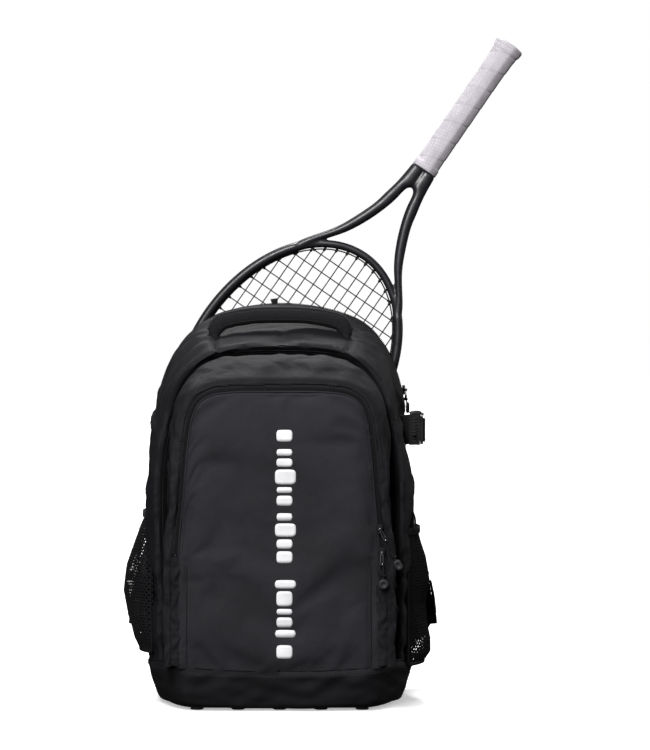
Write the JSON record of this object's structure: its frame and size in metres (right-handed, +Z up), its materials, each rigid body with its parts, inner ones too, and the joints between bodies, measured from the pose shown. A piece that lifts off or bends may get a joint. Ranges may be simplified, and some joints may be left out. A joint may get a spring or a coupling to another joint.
{
  "type": "racket backpack",
  "caption": "Soft backpack with a rear racket compartment holding a tennis racket, front zip pocket, mesh bottle pockets and padded straps.",
  "frame": {"origin": "middle of the base, on the surface that the bag stands on", "axes": "+Z up, -Y towards the front pocket, +X to the right seen from the front"},
  "size_m": [0.5079, 0.2693, 0.8396],
  "materials": {
    "shell_fabric": "coated woven polyester, satin",
    "lining_fabric": "thin woven lining, matt",
    "boot_fabric": "coated heavy fabric, satin",
    "mesh_fabric": "open knitted mesh, matt",
    "webbing": "ribbed webbing, matt",
    "hard_plastic": "moulded acetal, semi-matt",
    "zip_metal": "gunmetal plated, worn edges",
    "puller_rubber": "soft moulded rubber, matt",
    "padded_mesh": "spacer mesh over foam, matt",
    "zip_coil": "nylon coil on woven tape",
    "racket_lacquer": "black lacquer, glossy",
    "racket_plastic": "moulded nylon, semi-matt",
    "grip_wrap": "pale grey perforated grip tape, matt",
    "racket_string": "monofilament, semi-gloss"
  },
  "bodies": {
    "bag": {"base_boot": "boot_fabric", "base_board": "hard_plastic", "main_gusset": "shell_fabric", "divider_panel": "lining_fabric", "main_zip_tape_gusset": "zip_coil", "racket_wall_left": "shell_fabric", "racket_wall_right": "shell_fabric", "racket_mouth_front": "zip_coil", "racket_mouth_rear": "zip_coil", "back_panel": "padded_mesh", "back_pad_left": "padded_mesh", "back_pad_right": "padded_mesh", "lumbar_pad": "padded_mesh", "strap_yoke": "shell_fabric", "lower_side_left": "shell_fabric", "lower_side_right": "shell_fabric", "pocket_lining_lower": "lining_fabric", "pocket_face_lower": "shell_fabric", "bottle_pocket_left": "mesh_fabric", "bottle_pocket_right": "mesh_fabric", "pocket_elastic_left": "webbing", "pocket_elastic_right": "webbing", "handle_anchor_left": "webbing", "handle_anchor_right": "webbing", "strap_foot_left": "webbing", "strap_foot_right": "webbing", "stick_buckle_female": "hard_plastic"},
    "front_lid": {"lid_shell": "shell_fabric", "main_zip_tape_lid": "zip_coil", "pocket_lining": "lining_fabric", "pocket_face_middle": "shell_fabric", "pocket_zip_coil": "zip_coil"},
    "pocket_flap": {"pocket_flap": "shell_fabric"},
    "pocket_upper_slider": {"pocket_upper_slider": "zip_metal"},
    "pocket_upper_pull": {"pocket_upper_pull_bar": "zip_metal", "pocket_upper_pull_cord": "puller_rubber"},
    "pocket_lower_slider": {"pocket_lower_slider": "zip_metal"},
    "pocket_lower_pull": {"pocket_lower_pull_bar": "zip_metal", "pocket_lower_pull_cord": "puller_rubber"},
    "main_zip_slider": {"main_zip_slider": "zip_metal"},
    "main_zip_pull": {"main_zip_pull_bar": "zip_metal", "main_zip_pull_cord": "puller_rubber"},
    "racket_zip_slider": {"racket_zip_slider": "zip_metal"},
    "racket_zip_pull": {"racket_zip_pull_bar": "zip_metal", "racket_zip_pull_cord": "puller_rubber"},
    "grab_handle": {"grab_handle": "webbing"},
    "shoulder_strap_left": {"shoulder_pad_left": "padded_mesh", "strap_adjuster_left": "hard_plastic", "strap_webbing_left": "webbing"},
    "shoulder_strap_right": {"shoulder_pad_right": "padded_mesh", "strap_adjuster_right": "hard_plastic", "strap_webbing_right": "webbing"},
    "stick_strap": {"stick_buckle_male": "hard_plastic", "stick_strap_webbing": "webbing"},
    "racket": {"racket_frame": "racket_lacquer", "racket_grommet_strip": "racket_plastic", "racket_strings": "racket_string", "racket_collar": "puller_rubber", "racket_grip": "grip_wrap", "racket_butt_cap": "grip_wrap"}
  },
  "joints": [
    {"name": "racket_lift", "type": "slide", "parent": "bag", "child": "racket", "axis": [0.2588, 0, 0.9659], "range_m": [0, 0.28]},
    {"name": "front_lid_fold", "type": "hinge", "parent": "bag", "child": "front_lid", "pos_m": [0, -0.106, 0.146], "axis": [1, 0, 0], "range_deg": [0, 60]},
    {"name": "pocket_flap_fold", "type": "hinge", "parent": "front_lid", "child": "pocket_flap", "pos_m": [0, -0.106, 0.186], "axis": [1, 0, 0], "range_deg": [0, 80]},
    {"name": "pocket_upper_slide", "type": "slide", "parent": "front_lid", "child": "pocket_upper_slider", "axis": [-0.0939, 0, 0.9956], "range_m": [0, 0.08]},
    {"name": "pocket_upper_swing", "type": "hinge", "parent": "pocket_upper_slider", "child": "pocket_upper_pull", "pos_m": [0.1206, -0.1092, 0.221], "axis": [1, 0, 0], "range_deg": [-120, 0]},
    {"name": "pocket_lower_slide", "type": "slide", "parent": "front_lid", "child": "pocket_lower_slider", "axis": [-0.0939, 0, 0.9956], "range_m": [0, 0.012]},
    {"name": "pocket_lower_swing", "type": "hinge", "parent": "pocket_lower_slider", "child": "pocket_lower_pull", "pos_m": [0.123, -0.1092, 0.193], "axis": [1, 0, 0], "range_deg": [-120, 0]},
    {"name": "main_zip_slide", "type": "slide", "parent": "bag", "child": "main_zip_slider", "axis": [0, 0, 1], "range_m": [0, 0.12]},
    {"name": "main_zip_swing", "type": "hinge", "parent": "main_zip_slider", "child": "main_zip_pull", "pos_m": [0.1406, -0.0636, 0.152], "axis": [1, 0, 0], "range_deg": [-90, 0]},
    {"name": "racket_zip_slide", "type": "slide", "parent": "bag", "child": "racket_zip_slider", "axis": [0, 0, 1], "range_m": [0, 0.02]},
    {"name": "racket_zip_swing", "type": "hinge", "parent": "racket_zip_slider", "child": "racket_zip_pull", "pos_m": [0.1589, 0.079, 0.386], "axis": [0, 1, 0], "range_deg": [-120, 0]},
    {"name": "grab_handle_swing", "type": "hinge", "parent": "bag", "child": "grab_handle", "pos_m": [0, -0.03, 0.462], "axis": [1, 0, 0], "range_deg": [-50, 60]},
    {"name": "strap_left_swing", "type": "hinge", "parent": "bag", "child": "shoulder_strap_left", "pos_m": [-0.058, 0.116, 0.446], "axis": [0.2734, 0.0101, 0.9619], "range_deg": [-10, 25]},
    {"name": "strap_right_swing", "type": "hinge", "parent": "bag", "child": "shoulder_strap_right", "pos_m": [0.058, 0.116, 0.446], "axis": [0.2734, -0.0101, -0.9619], "range_deg": [-10, 25]},
    {"name": "stick_strap_swing", "type": "hinge", "parent": "bag", "child": "stick_strap", "pos_m": [0.1634, 0.046, 0.3365], "axis": [0, 0, 1], "range_deg": [0, 45]}
  ]
}
